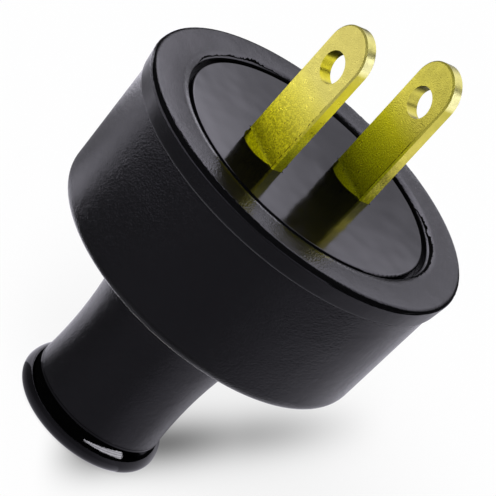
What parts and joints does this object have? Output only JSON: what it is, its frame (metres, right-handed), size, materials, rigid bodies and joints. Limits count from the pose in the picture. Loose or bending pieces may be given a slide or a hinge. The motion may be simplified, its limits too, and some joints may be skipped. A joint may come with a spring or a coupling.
{
  "type": "rubber power plug",
  "caption": "Round rewirable rubber plug with a slim waisted neck, a black contact core seated inside the front rim, flat brass blades and a cord bore through the neck.",
  "frame": {"origin": "centre of the flat ring at the end of the neck, on the plug's axis", "axes": "+Z along the plug's axis from the neck's end towards the blade tips; +X from the left blade to the right one; +Y along the width of the blades"},
  "size_m": [0.0398, 0.0398, 0.0556],
  "materials": {
    "rubber": "black moulded rubber, satin, fine grain on the sides",
    "core": "black moulded plastic, half gloss",
    "blade_brass": "stamped brass strip, fine grain",
    "screw_brass": "turned brass"
  },
  "bodies": {
    "root": {"rubber_body": "rubber", "contact_core": "core", "blade_left": "blade_brass", "blade_right": "blade_brass", "terminal_screw_left": "screw_brass", "terminal_screw_right": "screw_brass"}
  },
  "joints": []
}
